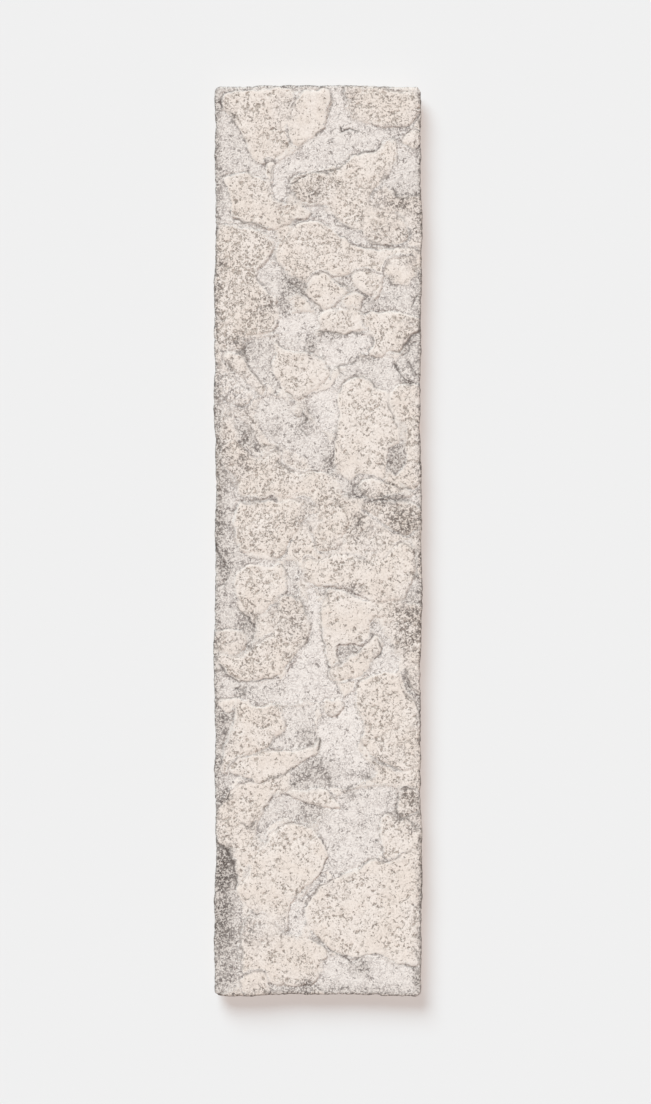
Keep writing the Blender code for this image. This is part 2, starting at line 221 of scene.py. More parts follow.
# Hollows where the skin is missing: how pale the bare ground is, and a few points of its outline
HOLLOWS = (
    (0.3, (-3, 13), (5, 13), (9, 15), (12, 22), (17, 33), (20, 37), (25, 38), (25, 44), (20, 46), (14, 43),
        (6, 46), (8, 56), (10, 64), (20, 68), (28, 70), (30, 73), (20, 71), (3, 66), (-3, 62)),
    (0.2, (-2, -3), (40, -3), (55, 0), (50, 3), (25, 3), (10, 4), (4, 6), (3, 12), (-3, 13)),
    (0.7, (55, -2), (61, 2), (62, 7), (64, 12), (66, 16), (72, 19), (80, 21), (92, 22), (86, 27), (76, 31),
        (70, 34), (60, 39), (50, 42), (37, 47), (35, 54), (31, 60), (27, 52), (29, 41), (33, 37), (46, 27),
        (53, 20), (54, 8)),
    (0.6, (86, 29), (88, 37), (84, 44), (82, 48), (86, 52), (99, 52), (102, 40), (102, 31), (92, 32)),
    (0.4, (27, 70), (31, 74), (30, 79), (28, 86), (24, 91), (21, 91), (26, 85), (27.5, 79), (26, 74)),
    (0.3, (66, 142), (73, 141), (84, 148), (87, 156), (89, 165), (90, 174), (87, 174), (86, 165), (83, 152),
        (73, 143)),
    (0.5, (42, 60), (49, 59), (54, 62), (62, 70), (66, 76), (60, 73), (53, 68), (46, 66), (40, 66)),
    (0.1, (60, 69), (66, 70), (72, 74), (77, 77), (86, 80), (78, 81), (70, 79)),
    (0.5, (22, 90), (28, 87), (32, 89), (35, 93), (43, 98), (43, 102), (32, 102), (28, 101), (24, 97)),
    (0.2, (29, 102), (34, 102), (38, 108), (35, 112), (31, 111)),
    (0.9, (33, 112), (48, 109), (50, 112), (49, 120), (45, 121), (36, 122), (31, 119)),
    (0.1, (54, 92), (62, 93), (68, 95), (70, 99), (73, 102), (64, 99)),
    (0.4, (80, 90), (84, 96), (90, 98), (97, 93), (102, 90), (102, 110), (90, 110), (74, 111), (71, 107),
        (73, 102), (79, 101)),
    (0.3, (40, 101), (46, 103), (52, 108), (60, 104), (64, 106), (58, 110), (50, 112), (46, 107)),
    (0.1, (18, 123), (28, 121), (31, 125), (29, 138), (33, 147), (30, 150), (24, 143), (16, 133), (13, 126)),
    (0.5, (20, 159), (24, 151), (33, 152), (42, 158), (48, 164), (53, 168), (57, 173), (59, 182), (56, 189),
        (48, 184), (42, 178), (34, 176), (26, 172), (22, 165)),
    (0.5, (31, 121), (50, 121), (51, 130), (47, 133), (44, 128), (33, 128), (30, 124)),
    (0.9, (51, 121), (60, 122), (75, 121), (75, 128), (70, 130), (68, 135), (58, 138), (52, 131)),
    (0.5, (69, 131), (84, 131), (88, 136), (92, 143), (88, 147), (84, 150), (79, 146), (73, 141), (66, 142),
        (60, 149), (57, 146), (60, 140), (63, 137)),
    (0.3, (94, 123), (102, 117), (102, 144), (96, 143), (90, 139), (87, 133), (91, 128)),
    (0.9, (46, 150), (56, 146), (60, 150), (60, 160), (58, 168), (50, 165), (44, 156)),
    (0.4, (-3, 148), (3, 154), (4, 168), (5, 182), (8, 192), (12, 200), (9, 208), (11, 218), (17, 228),
        (12, 236), (8, 242), (3, 236), (-3, 215)),
    (0.0, (10, 160), (15, 162), (20, 169), (24, 178), (20, 177), (14, 171)),
    (0.4, (60, 188), (66, 191), (71, 188), (75, 192), (74, 198), (66, 199), (60, 195)),
    (0.9, (84, 197), (92, 198), (102, 195), (102, 203), (92, 201)),
    (0.2, (4, 222), (10, 221), (15, 226), (22, 229), (30, 229), (28, 233), (20, 232), (12, 237), (10, 243),
        (12, 252), (18, 259), (20, 266), (14, 275), (9, 266), (-3, 262), (-3, 242), (6, 238)),
    (0.3, (33, 230), (39, 230), (41, 240), (40, 247), (35, 250), (34, 240)),
    (0.9, (45, 244), (50, 244), (51, 262), (53, 274), (55, 285), (61, 296), (50, 299), (44, 297), (33, 299),
        (30, 288), (38, 280), (44, 270), (46, 258)),
    (0.4, (-3, 284), (2, 283), (10, 287), (20, 289), (30, 285), (35, 290), (32, 299), (16, 298), (-3, 299)),
    (0.9, (60, 297), (67, 293), (70, 300), (71, 312), (69, 322), (78, 331), (70, 337), (60, 340), (50, 333),
        (50, 318), (51, 306), (58, 304)),
    (0.5, (34, 300), (46, 299), (49, 302), (49, 317), (44, 320), (30, 321), (28, 317), (34, 312)),
    (0.2, (36, 330), (43, 327), (50, 323), (53, 331), (58, 338), (50, 340), (39, 339)),
    (0.7, (60, 343), (68, 339), (78, 338), (88, 341), (87, 348), (82, 353), (83, 366), (76, 374), (62, 381),
        (55, 380), (52, 370), (49, 360), (52, 351)),
    (0.3, (29, 344), (36, 342), (50, 348), (60, 350), (50, 354), (46, 358), (34, 354), (26, 358), (24, 366),
        (20, 362), (23, 354)),
    (0.1, (60, 270), (72.5, 270.5), (66, 275), (62, 278), (60, 280)),
    (0.7, (75, 259), (80, 260), (83, 267), (88, 274), (88, 282), (80, 284), (72, 288), (74, 283), (79, 276),
        (79, 268)),
    (0.3, (93, 240), (102, 238), (102, 250), (92, 249)),
    (0.2, (90, 282), (93, 290), (98, 299), (102, 312), (97, 306), (92, 294)),
    (0.2, (-3, 300), (5, 304), (10, 303), (11, 309), (5, 320), (2, 328), (8, 333), (12, 335), (4, 344),
        (-3, 350)),
    (0.0, (-3, 361), (3, 365), (9, 370), (11, 388), (14, 396), (15, 405), (12, 413), (12, 422), (13, 430),
        (8, 436), (-3, 436)),
    (0.7, (33, 396), (38, 392), (43, 394), (45, 400), (43, 407), (38, 409), (33, 404)),
    (0.5, (17, 357), (22, 357), (25, 364), (24, 376), (21, 383), (17, 376), (15, 366)),
    (0.1, (53, 240), (60, 239.5), (68, 242), (76, 247), (70, 248), (60, 245), (53, 243.5)),
    (0.1, (83, 174), (90, 175), (92, 180), (88, 188), (84, 184)),
    (0.7, (52, 428), (54, 421), (62, 421), (70, 421), (78, 419), (88, 424), (102, 419), (102, 436),
        (84, 439), (58, 440), (47, 433)),
    (0.1, (27, 432), (36, 432), (46, 430), (48, 437), (40, 443), (24, 443)),
    (0.3, (42, 393), (46, 386), (51, 380), (55, 381), (48, 388)),
)

# Cracks and hard dark edges: how dark each is, and its course
CRACKS = (
    (0.5, (0, 13), (6, 14), (9, 16), (11, 21), (15, 28)),
    (0.5, (4, 45.5), (7, 44.5), (10, 43.5), (14, 42.5), (19, 45)),
    (0.5, (24.5, 36), (25.5, 40)),
    (0.5, (29.5, 40), (28, 47)),
    (1.0, (60, 20), (61, 22.5), (64, 21), (70, 21.5)),
    (0.7, (37, 48), (44, 44), (55, 42), (60, 40), (66, 36), (73, 33), (76, 31.5)),
    (1.0, (75, 32), (76.5, 31.2)),
    (0.5, (80, 48), (82.5, 45)),
    (0.6, (86, 51), (89, 54), (93, 53.5), (99, 52.5)),
    (0.7, (10, 65), (20, 68), (25, 70)),
    (0.4, (32, 68), (39, 67), (44, 65)),
    (0.5, (60, 68), (69, 70)),
    (0.5, (74, 76), (80, 78), (84, 80)),
    (0.5, (21, 92), (25, 97)),
    (0.6, (33, 93), (36, 97), (43, 102), (48, 105), (52, 109)),
    (0.8, (97.5, 101), (95.5, 107)),
    (0.6, (13, 128), (16, 133), (20, 139), (24, 147)),
    (0.7, (98.6, 119), (94, 122.5), (92.5, 125), (90.5, 126.5), (88.4, 129), (85, 128.5)),
    (0.7, (97, 124), (94.3, 126), (93.7, 128), (91.6, 129.5), (89.5, 131)),
    (0.8, (86.8, 135), (89.5, 140), (91.6, 142), (96, 143)),
    (0.6, (92, 133), (97, 140)),
    (0.7, (50, 120), (60, 121), (67, 121), (70, 120.5)),
    (0.6, (68, 134), (62, 136), (60, 140)),
    (0.6, (60, 148), (62, 145), (66, 142), (70, 141.2), (74, 142), (79, 146)),
    (0.6, (83, 154), (86, 159), (89, 166)),
    (0.6, (42, 157), (44, 162), (41, 165), (44, 170)),
    (0.4, (8, 152), (9, 160)),
    (0.6, (31, 181), (38, 187)),
    (0.5, (24, 175), (29, 175), (30, 179)),
    (0.5, (12, 200), (16, 201), (30, 200)),
    (0.7, (80, 190), (83, 193), (89, 196), (93, 195)),
    (0.6, (70, 192.2), (67.2, 194), (68, 197.3), (71.5, 198), (73, 195)),
    (0.5, (57, 199), (61, 204)),
    (0.5, (90, 221), (96, 226)),
    (0.9, (2, 222), (4, 227), (6, 233)),
    (0.7, (0, 243), (4, 242), (6, 239)),
    (0.6, (53, 244), (55, 250), (51, 254), (51, 260), (52, 270)),
    (0.4, (52, 270), (54, 280), (56, 288)),
    (0.5, (32, 232), (35, 237)),
    (0.7, (11, 251), (17.5, 259), (19, 263)),
    (0.8, (78, 268), (80, 273), (78, 277)),
    (0.7, (2, 281), (8, 286), (14, 288), (20, 288), (30, 284)),
    (0.6, (10, 291), (14, 292), (15, 294.6)),
    (0.7, (91, 282), (94, 290), (98, 294)),
    (0.6, (90, 292), (95, 299), (98, 306)),
    (0.6, (70, 288), (75, 285.5)),
    (0.9, (50, 316.5), (50.3, 318), (49, 322)),
    (0.5, (14, 325), (20, 322.5), (26, 320), (28, 317), (33, 314)),
    (0.6, (22, 336), (28, 334), (36, 331)),
    (0.5, (14, 357), (18, 359), (21, 356)),
    (0.6, (86, 347), (88, 352), (94, 356), (97, 360)),
    (0.8, (0, 362), (4, 367), (9, 372), (10, 380), (10.5, 388)),
    (1.0, (77.6, 363.4), (78, 363.8)),
    (0.5, (70, 378), (73, 375), (76, 374.5)),
    (0.7, (50, 410), (53, 413)),
    (0.8, (55, 416), (60, 420), (64, 421.6), (67, 422.3), (70, 420.5)),
    (0.6, (96, 416), (99, 422)),
)

# Soft patches: across, down, half their size each way, strength
DARK = (
    (1, 10, 4, 8, 0.6), (10, 17, 3, 4, 0.6), (1, 50, 4, 18, 0.6), (66, 6, 6, 3, 0.5), (35, 13, 7, 8, 0.35),
    (88, 22, 8, 3, 0.4), (47, 52, 10, 7, 0.45), (91, 58, 10, 9, 0.55), (96, 71, 4, 4, 0.7),
    (84, 72, 9, 7, 0.35), (94, 85, 5, 3, 0.6), (84.5, 93.5, 3, 3, 0.6), (38, 98, 7, 5, 0.7),
    (26, 107, 5, 6, 0.5), (33, 106, 3, 5, 0.5), (3, 99, 4, 4, 0.7), (3, 87, 4, 3, 0.7), (9, 123, 9, 4, 0.6),
    (14, 127, 4, 4, 0.5), (6, 136, 5, 3, 0.6), (46, 126, 3, 6, 0.7), (54, 122, 5, 3, 0.5),
    (74, 105, 5, 6, 0.4), (92, 126, 5, 6, 0.5), (72, 132, 8, 3, 0.4), (93, 143, 5, 2, 0.6),
    (44, 161, 5, 7, 0.45), (16, 158, 5, 3, 0.4), (17, 170, 6, 10, 0.6), (30, 168, 3, 3, 0.4),
    (0, 182, 8, 26, 1.0), (23, 176, 3, 3, 0.5), (15, 185, 6, 7, 0.45), (56, 183, 4, 7, 0.6),
    (87, 181, 6, 8, 0.6), (67, 195, 4, 5, 0.4), (81, 200, 10, 4, 0.7), (69, 213, 5, 9, 0.6),
    (91, 210, 9, 8, 0.8), (70, 197, 10, 6, 0.5), (1, 212, 6, 17, 0.9), (5, 232, 5, 10, 0.7),
    (98, 232, 3, 8, 0.7), (38, 257, 8, 12, 0.35), (94, 262, 9, 17, 0.75), (17, 262, 6, 8, 0.5),
    (64, 243, 10, 3, 0.6), (66, 272, 6, 3, 0.5), (94, 285, 5, 10, 0.5), (14, 270, 5, 6, 0.4),
    (44, 267, 3, 3, 0.5), (4, 310, 7, 11, 0.6), (1, 330, 4, 8, 0.6), (4, 344, 6, 5, 0.7),
    (13, 293, 4, 3, 0.5), (45, 315, 4, 6, 0.5), (50, 332, 14, 8, 0.5), (39, 337, 3, 3, 0.8),
    (65, 342, 4, 4, 0.5), (73, 333, 5, 3, 0.6), (80, 328, 6, 3, 0.4), (46, 352, 6, 7, 0.4),
    (19, 358, 4, 3, 0.5), (93, 349, 8, 12, 0.75), (96, 358, 4, 7, 0.7), (5, 378, 6, 16, 1.0),
    (4, 404, 7, 20, 1.0), (6, 430, 5, 7, 0.6), (19, 410, 7, 8, 0.25), (44, 433, 5, 4, 0.8),
    (36, 439, 13, 3, 0.8), (70, 425, 5, 5, 0.6), (76, 438, 7, 2, 0.5), (99.5, 380, 2, 8, 0.7),
    # The last patch darkens the whole bottom edge, as grime and painted shade
    (98, 400, 4, 6, 0.4), (98.5, 431, 3, 9, 0.9), (60, 386, 8, 6, 0.3), (50, 440, 75, 6, 0.6),
)
VEILS = (
    (40, 41, 6, 4, 0.9), (31, 53, 6, 8, 0.8), (54, 65, 5, 4, 0.9), (89, 44, 8, 6, 0.8), (95, 36, 5, 5, 0.4),
    (78, 56, 6, 6, 0.8), (66, 14, 5, 5, 0.6), (73, 75, 6, 4, 0.4), (41, 116, 11, 6, 0.9),
    (94, 115, 4, 4, 0.7), (61, 128, 11, 8, 0.7), (82, 138, 8, 6, 0.5), (9, 149, 14, 14, 1.0),
    (30, 157, 9, 8, 0.8), (47, 153, 10, 5, 0.8), (37, 162, 5, 4, 0.9), (42, 174, 14, 11, 0.8),
    (6, 194, 5, 7, 0.5), (46, 208, 6, 9, 0.8), (76, 213, 5, 8, 0.6), (58, 222, 5, 4, 0.6),
    (40, 236, 5, 4, 0.8), (26, 257, 6, 7, 0.4), (75, 223, 6, 4, 0.5), (6, 268, 5, 7, 0.4),
    (46, 285, 9, 14, 1.0), (61, 312, 11, 14, 0.9), (80, 276, 6, 7, 0.5), (88, 322, 4, 4, 0.5),
    (38, 346, 9, 6, 0.6), (72, 346, 10, 8, 0.6), (65, 364, 10, 10, 0.3), (22, 364, 3, 6, 0.5),
    (36, 405, 8, 7, 0.8), (20, 406, 11, 10, 0.7), (64, 429, 10, 6, 0.9), (84, 430, 10, 7, 0.5),
)
RUST = (
    (2, 180, 6, 24, 0.8), (87, 181, 6, 8, 0.8), (17, 170, 6, 10, 0.6), (94, 267, 8, 22, 1.0),
    (92, 350, 9, 14, 0.9), (88, 212, 9, 8, 0.6), (92, 60, 9, 9, 0.5),
)


def cloud(x, z, size, seed):
    """Smooth noise from -1 to 1, with lumps of about the given size."""
    lattice_size = 256
    lattice = np.random.default_rng(seed).uniform(-1, 1, (lattice_size, lattice_size))
    column = np.floor(x / size).astype(int)
    row = np.floor(z / size).astype(int)
    right = x / size - column
    up = z / size - row
    right = right * right * (3 - 2 * right)
    up = up * up * (3 - 2 * up)

    def corner(over, above):
        return lattice[(column + over) % lattice_size, (row + above) % lattice_size]

    low = corner(0, 0) * (1 - right) + corner(1, 0) * right
    high = corner(0, 1) * (1 - right) + corner(1, 1) * right
    return low * (1 - up) + high * up


def smoothed(corners, closed):
    """More points along a smooth curve through the given ones."""
    points = np.array(corners, float)
    last = len(points) - 1
    steps = 4
    made = []
    for number in range(last + 1 if closed else last):
        around = [number - 1, number, number + 1, number + 2]
        if closed:
            around = [place % (last + 1) for place in around]
        a, b, c, d = (points[min(max(place, 0), last)] for place in around)
        for step in range(steps):
            t = step / steps
            bend = (c - a) * t + (2 * a - 5 * b + 4 * c - d) * t**2 + (3 * b - a - 3 * c + d) * t**3
            made.append(b + bend / 2)
    if not closed:
        made.append(points[-1])
    return np.array(made)


def edge_distance(across, down, path, closed):
    """How far points are from a path and, for a closed one, whether they are within it."""
    nearest = np.full(across.shape, np.inf)
    within = np.zeros(across.shape, bool)
    starts = path if closed else path[:-1]
    ends = np.roll(path, -1, axis=0) if closed else path[1:]
    for (from_x, from_y), (to_x, to_y) in zip(starts, ends):
        run_x = to_x - from_x
        run_y = to_y - from_y
        share = ((across - from_x) * run_x + (down - from_y) * run_y) / (run_x**2 + run_y**2)
        share = np.clip(share, 0, 1)
        gap = (across - from_x - share * run_x) ** 2 + (down - from_y - share * run_y) ** 2
        np.minimum(nearest, gap, out=nearest)
        if closed and from_y != to_y:
            crosses = (from_y > down) != (to_y > down)
            within ^= crosses & (across < from_x + (down - from_y) * run_x / run_y)
    return np.sqrt(nearest), within


def box_round(across, down, path, reach):
    """The points in the box round a path, widened by a reach."""
    low = path.min(0) - reach
    high = path.max(0) + reach
    return (across > low[0]) & (across < high[0]) & (down > low[1]) & (down < high[1])


def inside_outline(across, down, corners):
    """The points near a closed outline, and how many metres inside it each of them is."""
    path = smoothed(corners, closed=True)
    near = box_round(across, down, path, SKIN_REACH / UNIT)
    gap, within = edge_distance(across[near], down[near], path, closed=True)
    return near, np.where(within, gap, -gap) * UNIT


def blobs(across, down, places):
    """The strongest of some soft round patches at each point."""
    fade = 1.2
    found = np.zeros(across.shape)
    for centre_across, centre_down, half_across, half_down, strength in places:
        away = ((across - centre_across) / half_across) ** 2 + ((down - centre_down) / half_down) ** 2
        np.maximum(found, strength * np.exp(-fade * away**1.5), out=found)
    return found


def eased(inside, slope):
    """0 well outside an outline and 1 well inside it, over the width of the slope there."""
    share = np.clip(inside / slope + 0.5, 0, 1)
    return share * share * (3 - 2 * share)


def bell(inside, width, shift=0.0):
    """1 where a point lies the shift, in widths, outside an outline, and 0 away from there."""
    return np.exp(-((inside / width + shift) ** 2))


def clouds(x, z, layers, first_seed):
    """Several clouds in one. Each layer has its reach and the size of its lumps."""
    return sum(
        reach * cloud(x, z, size, first_seed + number) for number, (reach, size) in enumerate(layers)
    )


def read_hollows(across, down):
    """How many metres inside a hollow each point is, and how pale the ground is there."""
    bare = np.full(across.shape, -SKIN_REACH)
    pale = np.full(across.shape, USUAL_PALENESS)
    for paleness, *corners in HOLLOWS:
        near, inside = inside_outline(across, down, corners)
        bare[near] = np.maximum(bare[near], inside)
        pale[near] += (paleness - pale[near]) * eased(inside, SKIN_REACH)
    return bare, pale


def read_plates(across, down, bare, slope, worn):
    """The plates, laid one on another: height, metres inside the skin, crevices and how pitted."""
    height = LOW_SKIN * PLATE_RISE * (1 - eased(bare, slope))
    skin = -bare
    crevice = np.zeros(across.shape)
    pitted = np.full(across.shape, USUAL_PITS)
    for number, (pits, *corners) in enumerate(PLATES):
        near, inside = inside_outline(across, down, corners)
        share = eased(inside, slope[near])
        top = PLATE_RISE * PLATE_LEVELS[number % len(PLATE_LEVELS)]
        height[near] += (top - height[near]) * share
        seam = worn[near] * bell(inside, CREVICE_WIDTH, CREVICE_SHIFT)
        crevice[near] = np.maximum(crevice[near] * (1 - share), seam)
        pitted[near] += (pits - pitted[near]) * share
        gap = worn[near] * bell(inside, GAP_WIDTH, 1)
        skin[near] = np.maximum(skin[near] * (1 - gap) - GAP_WIDTH * gap, inside)
    return height, skin, crevice, pitted


def read_cracks(across, down):
    """How much of a crack's darkness and depth there is at each point."""
    crack = np.zeros(across.shape)
    for darkness, *course in CRACKS:
        path = smoothed(course, closed=False)
        near = box_round(across, down, path, CRACK_REACH)
        gap, _ = edge_distance(across[near], down[near], path, closed=False)
        crack[near] = np.maximum(crack[near], darkness * bell(gap * UNIT, CREVICE_WIDTH))
    return crack


def read_surface(x, z):
    """What the face is like at each point: its height and the patterns that colour it."""
    across = (x - CAD_LOW.x) / WIDTH * LAYOUT_ACROSS + clouds(x, z, RAGGED, first_seed=1)
    down = (CAD_HIGH.z - z) / HEIGHT * LAYOUT_DOWN + clouds(x, z, RAGGED, first_seed=4)
    slope = PLATE_SLOPE * (1.0 + SLOPE_VARIES * cloud(x, z, SLOPE_PATCH, seed=11))
    worn = np.clip(USUAL_WEAR + WEAR_VARIES * cloud(x, z, WEAR_PATCH, seed=12), 0, 1)
    bare, pale = read_hollows(across, down)
    height, skin, crevice, pitted = read_plates(across, down, bare, slope, worn)
    crack = read_cracks(across, down)
    height -= CREVICE_DEPTH * crevice + CRACK_DEPTH * crack
    height += clouds(x, z, FACE_WAVES, first_seed=7)
    from_side = WIDTH / 2 - np.abs(x - CENTRE_X)
    from_end = np.minimum((CAD_HIGH.z - z) / TOP_BORDER, z - CAD_LOW.z)
    return {
        "height": height,
        "skin": np.clip(skin, -SKIN_REACH, SKIN_REACH) / SKIN_REACH,
        "crevice": crevice,
        "crack": crack,
        "pitted": pitted,
        "pale": pale,
        "dark": blobs(across, down, DARK),
        "veil": blobs(across, down, VEILS),
        "rust": blobs(across, down, RUST),
        # Darker towards the edges: grime and painted shade together
        "border": np.clip(1 - np.minimum(from_side, from_end) / BORDER_WIDTH, 0, 1),
    }


def wandered(x, z):
    """Points moved as the hand-cut outline moves: most at the edges, not at all in the middle."""
    across = (x - CENTRE_X) / (WIDTH / 2)
    up = (z - CENTRE_Z) / (HEIGHT / 2)

    def swing(waves):
        return sum(share * np.sin(along * up + over * across) for share, along, over in waves)

    moved_x = x + SIDE_STRAY * swing(SIDE_WAVES) * across
    return moved_x, z + END_STRAY * swing(END_WAVES) * up**END_STRAY_POWER


def rounded(x, z, half_width, half_height, radius):
    """Points of a rectangle moved so that its corners become arcs."""
    over_x = np.abs(x) - (half_width - radius)
    over_z = np.abs(z) - (half_height - radius)
    in_corner = (over_x > 0) & (over_z > 0)
    length = np.where(in_corner, np.hypot(over_x, over_z), 1)
    reach = np.maximum(over_x, over_z)
    arc_x = half_width - radius + over_x / length * reach
    arc_z = half_height - radius + over_z / length * reach
    x = np.where(in_corner, np.sign(x) * arc_x, x)
    z = np.where(in_corner, np.sign(z) * arc_z, z)
    return x, z


def slab_section():
    """The slab's rings from the edge of its face to its back. Each is how far it lies inside the
    outline, its y, its share of the relief, its corner radius and whether it strays with the outline."""
    made = []
    steps = 5
    for step in range(1, steps + 1):
        angle = math.pi / 2 * step / steps
        short = FRONT_EDGE_RADIUS * (1 - math.sin(angle))
        depth = FRONT_EDGE_RADIUS * (1 - math.cos(angle))
        made.append((short, FACE_Y + depth, 1 - step / steps, CORNER_RADIUS - short, True))
    side = -STANDOFF - BACK_EDGE_RADIUS - FACE_Y - FRONT_EDGE_RADIUS
    for step in range(1, steps + 1):
        y = FACE_Y + FRONT_EDGE_RADIUS + side * step / steps
        made.append((0, y, 0, CORNER_RADIUS, True))
    steps = 3
    for step in range(1, steps + 1):
        angle = math.pi / 2 * step / steps
        short = BACK_EDGE_RADIUS * (1 - math.cos(angle))
        y = -STANDOFF - BACK_EDGE_RADIUS * (1 - math.sin(angle))
        made.append((short, y, 0, CORNER_RADIUS - short, True))
    return made


def rim_section():
    """The rim's rings, listed as the slab's are, from its outer foot over its top to its inner foot."""
    back = -STANDOFF
    inner = RIM_INSET + RIM_WALL
    inner_radius = RIM_CORNER_RADIUS - RIM_WALL
    rings = (
        (RIM_INSET - RIM_FILLET, back, RIM_CORNER_RADIUS + RIM_FILLET),
        (RIM_INSET - RIM_FILLET * ARC_MIDDLE, back + RIM_FILLET * ARC_MIDDLE, RIM_CORNER_RADIUS),
        (RIM_INSET, back + RIM_FILLET, RIM_CORNER_RADIUS),
        (RIM_INSET, -RIM_ARRIS, RIM_CORNER_RADIUS),
        (RIM_INSET + RIM_ARRIS * ARC_MIDDLE, -RIM_ARRIS * ARC_MIDDLE, RIM_CORNER_RADIUS),
        (RIM_INSET + RIM_ARRIS, 0, RIM_CORNER_RADIUS - RIM_ARRIS),
        (inner - RIM_ARRIS, 0, inner_radius + RIM_ARRIS),
        (inner - RIM_ARRIS * ARC_MIDDLE, -RIM_ARRIS * ARC_MIDDLE, inner_radius),
        (inner, -RIM_ARRIS, inner_radius),
        (inner, back + RIM_FILLET, inner_radius),
        (inner + RIM_FILLET * ARC_MIDDLE, back + RIM_FILLET * ARC_MIDDLE, inner_radius),
        (inner + RIM_FILLET, back, inner_radius),
    )
    return [(short, y, 0, radius, False) for short, y, radius in rings]


def ring_places(share_x, share_z, short, radius, strays):
    """Where the points of a ring or of the face lie, from their shares of half the slab's size."""
    half_width = WIDTH / 2 - EDGE_MARGIN - short
    half_height = HEIGHT / 2 - EDGE_MARGIN - short
    x, z = rounded(share_x * half_width, share_z * half_height, half_width, half_height, radius)
    x = x + CENTRE_X
    z = z + CENTRE_Z
    if strays:
        x, z = wandered(x, z)
        nick = EDGE_NICKS * (USUAL_NICK + clouds(x, z, NICKS, first_seed=9))
        x = x - nick * np.sign(share_x) * np.abs(share_x) ** SIDE_NICK_POWER
        z = z - nick * np.sign(share_z) * np.abs(share_z) ** END_NICK_POWER
    return x, z


def face_grid():
    """A dense grid over the face: its points, in shares of half the slab's size, its quads and its edge."""
    columns = round(WIDTH / DENSE_STEP)
    rows = round(HEIGHT / DENSE_STEP)
    share_x, share_z = np.meshgrid(np.linspace(-1, 1, columns + 1), np.linspace(-1, 1, rows + 1))
    index = np.arange((columns + 1) * (rows + 1)).reshape(rows + 1, columns + 1)
    corners = (index[:-1, :-1], index[:-1, 1:], index[1:, 1:], index[1:, :-1])
    quads = np.column_stack([corner.ravel() for corner in corners])
    edge = np.concatenate([index[0, :-1], index[:-1, -1], index[-1, :0:-1], index[:0:-1, 0]])
    return share_x.ravel(), share_z.ravel(), quads, edge


def dense_slab():
    """The whole panel as one closed, dense mesh: points, four-sided faces and the face that closes it."""
    share_x, share_z, face_quads, ring = face_grid()
    x, z = ring_places(share_x, share_z, FRONT_EDGE_RADIUS, CORNER_RADIUS - FRONT_EDGE_RADIUS, True)
    relief = read_surface(x, z)["height"]
    relief = np.minimum(relief - relief.mean(), RELIEF_REACH)
    points = [np.column_stack([x, FACE_Y - relief, z])]
    quads = [face_quads]
    ring_x = share_x[ring]
    ring_z = share_z[ring]
    ring_relief = relief[ring]
    made = len(x)
    for short, y, share, radius, strays in slab_section() + rim_section():
        x, z = ring_places(ring_x, ring_z, short, radius, strays)
        following = np.arange(made, made + len(x))
        made += len(x)
        points.append(np.column_stack([x, y - ring_relief * share, z]))
        quads.append(np.column_stack([ring, following, np.roll(following, -1), np.roll(ring, -1)]))
        ring = following
    return np.concatenate(points), np.concatenate(quads), ring[::-1]


class Value:
    """What a node puts out. It adds, subtracts and multiplies as a number does."""

    def __init__(self, nodes, socket):
        self.nodes = nodes
        self.socket = socket

    def __add__(self, other):
        return self.nodes.math("ADD", self, other)

    def __sub__(self, other):
        return self.nodes.math("SUBTRACT", self, other)

    def __rsub__(self, other):
        return self.nodes.math("SUBTRACT", other, self)

    def __mul__(self, other):
        return self.nodes.math("MULTIPLY", self, other)

    __rmul__ = __mul__


class Nodes:
    """Makes nodes in the tree of a material, a modifier or the world."""

    def __init__(self, tree):
        self.tree = tree

    def join(self, value, socket):
        """Feeds a value, or what another node puts out, to an input."""
        if isinstance(value, Value):
            self.tree.links.new(value.socket, socket)
        else:
            socket.default_value = value

    def node(self, kind, values=None, **settings):
        """A new node with these values, or the outputs of other nodes, at its inputs."""
        made = self.tree.nodes.new(kind)
        for name, setting in settings.items():
            setattr(made, name, setting)
        for place, value in (values or {}).items():
            self.join(value, made.inputs[place])
        return made

    def value(self, output, kind, values=None, **settings):
        """One output of a new node."""
        return Value(self, self.node(kind, values, **settings).outputs[output])

    def math(self, operation, *values, clamp=False):
        numbered = dict(enumerate(values))
        return self.value(0, "ShaderNodeMath", numbered, operation=operation, use_clamp=clamp)

    def most(self, first, second):
        return self.math("MAXIMUM", first, second)

    def vector(self, operation, *values):
        return self.value(0, "ShaderNodeVectorMath", dict(enumerate(values)), operation=operation)

    def scaled(self, vector, factor):
        parts = {"Vector": vector, "Scale": factor}
        return self.value(0, "ShaderNodeVectorMath", parts, operation="SCALE")

    def ramp(self, value, low, high):
        """0 where the value is under low, 1 where it is over high, and smooth between."""
        parts = {"Value": value, "From Min": low, "From Max": high}
        return self.value("Result", "ShaderNodeMapRange", parts, interpolation_type="SMOOTHSTEP")

    def noise(self, place, size, detail, roughness=0.5, output="Fac"):
        """Soft random lumps of about the given size, from 0 to 1."""
        parts = {"Vector": place, "Scale": 1 / size, "Detail": detail, "Roughness": roughness}
        return self.value(output, "ShaderNodeTexNoise", parts)

    def part(self, vector, axis):
        return self.value(axis, "ShaderNodeSeparateXYZ", {0: vector})

    def blend(self, share, start, end):
        """A colour between two others."""
        made = self.node("ShaderNodeMix", {"Factor": share}, data_type="RGBA")
        first, second = (socket for socket in made.inputs if socket.type == "RGBA")
        self.join(start, first)
        self.join(end, second)
        return Value(self, next(socket for socket in made.outputs if socket.type == "RGBA"))


# The size of the lumps in each noise, in metres
GRAIN_SIZE = 0.0021
MARK_SIZE = 0.0036
BEND_SIZE = 0.0040
GRIT_SIZE = 0.0055
TORN_SIZE = 0.007
MOTTLE_SIZE = 0.0085
MIDDLE_SIZE = 0.012
PATCH_SIZE = 0.019
UNEVEN_SIZE = 0.024
BROAD_SIZE = 0.035
CRUMBLE_SIZE = 0.038

